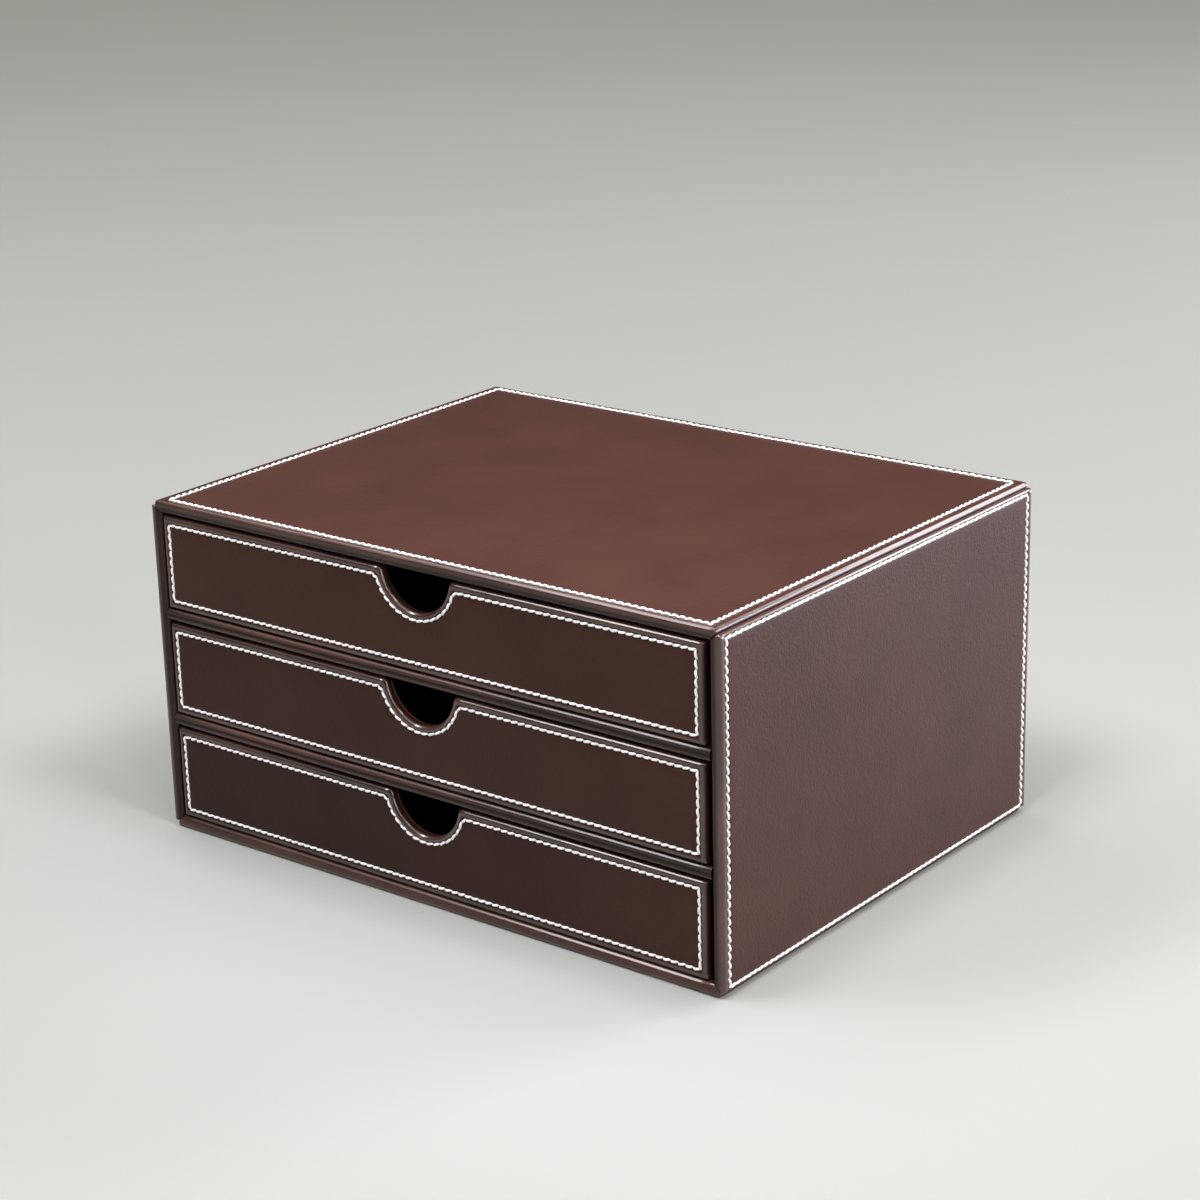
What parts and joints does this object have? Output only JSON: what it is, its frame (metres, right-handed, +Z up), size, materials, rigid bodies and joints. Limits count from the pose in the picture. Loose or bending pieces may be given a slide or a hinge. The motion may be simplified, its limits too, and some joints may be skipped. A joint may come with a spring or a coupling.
{
  "type": "stationery box",
  "caption": "Desktop stationery box of stitched, leather-wrapped board: stacked pull-out drawers for A4 papers, each opened by a half-round finger notch.",
  "frame": {"origin": "centre of the underside, on the surface the box stands on", "axes": "+Z up, the drawers open towards -Y, +X to the right of someone facing them"},
  "size_m": [0.331, 0.25, 0.1665],
  "materials": {
    "leather": "coffee-brown embossed PU leather, semi-gloss",
    "lining": "thin dark brown leather paper, matt",
    "velvet": "black short-pile velvet paper",
    "felt": "black pressed felt",
    "thread": "off-white waxed polyester thread",
    "fibreboard": "raw medium-density fibreboard"
  },
  "bodies": {
    "cabinet": {"top_board": "fibreboard", "top_cover": "leather", "top_lining": "lining", "top_stitching": "thread", "left_board": "fibreboard", "left_cover": "leather", "left_lining": "lining", "left_stitching": "thread", "right_board": "fibreboard", "right_cover": "leather", "right_lining": "lining", "right_stitching": "thread", "bottom_board": "fibreboard", "bottom_cover": "leather", "base_felt": "felt", "back_board": "fibreboard", "back_cover": "leather", "back_lining": "lining", "back_stitching": "thread", "upper_shelf_board": "fibreboard", "upper_shelf_cover": "leather", "lower_shelf_board": "fibreboard", "lower_shelf_cover": "leather"},
    "upper_drawer": {"upper_drawer_front_board": "fibreboard", "upper_drawer_front_cover": "leather", "upper_drawer_front_lining": "lining", "upper_drawer_front_stitching": "thread", "upper_drawer_left_wall": "fibreboard", "upper_drawer_right_wall": "fibreboard", "upper_drawer_back_wall": "fibreboard", "upper_drawer_floor": "fibreboard", "upper_drawer_wrap": "leather", "upper_drawer_liner": "velvet"},
    "middle_drawer": {"middle_drawer_front_board": "fibreboard", "middle_drawer_front_cover": "leather", "middle_drawer_front_lining": "lining", "middle_drawer_front_stitching": "thread", "middle_drawer_left_wall": "fibreboard", "middle_drawer_right_wall": "fibreboard", "middle_drawer_back_wall": "fibreboard", "middle_drawer_floor": "fibreboard", "middle_drawer_wrap": "leather", "middle_drawer_liner": "velvet"},
    "lower_drawer": {"lower_drawer_front_board": "fibreboard", "lower_drawer_front_cover": "leather", "lower_drawer_front_lining": "lining", "lower_drawer_front_stitching": "thread", "lower_drawer_left_wall": "fibreboard", "lower_drawer_right_wall": "fibreboard", "lower_drawer_back_wall": "fibreboard", "lower_drawer_floor": "fibreboard", "lower_drawer_wrap": "leather", "lower_drawer_liner": "velvet"}
  },
  "joints": [
    {"name": "upper_drawer_slide", "type": "slide", "parent": "cabinet", "child": "upper_drawer", "axis": [0, -1, 0], "range_m": [0, 0.19]},
    {"name": "middle_drawer_slide", "type": "slide", "parent": "cabinet", "child": "middle_drawer", "axis": [0, -1, 0], "range_m": [0, 0.19]},
    {"name": "lower_drawer_slide", "type": "slide", "parent": "cabinet", "child": "lower_drawer", "axis": [0, -1, 0], "range_m": [0, 0.19]}
  ]
}
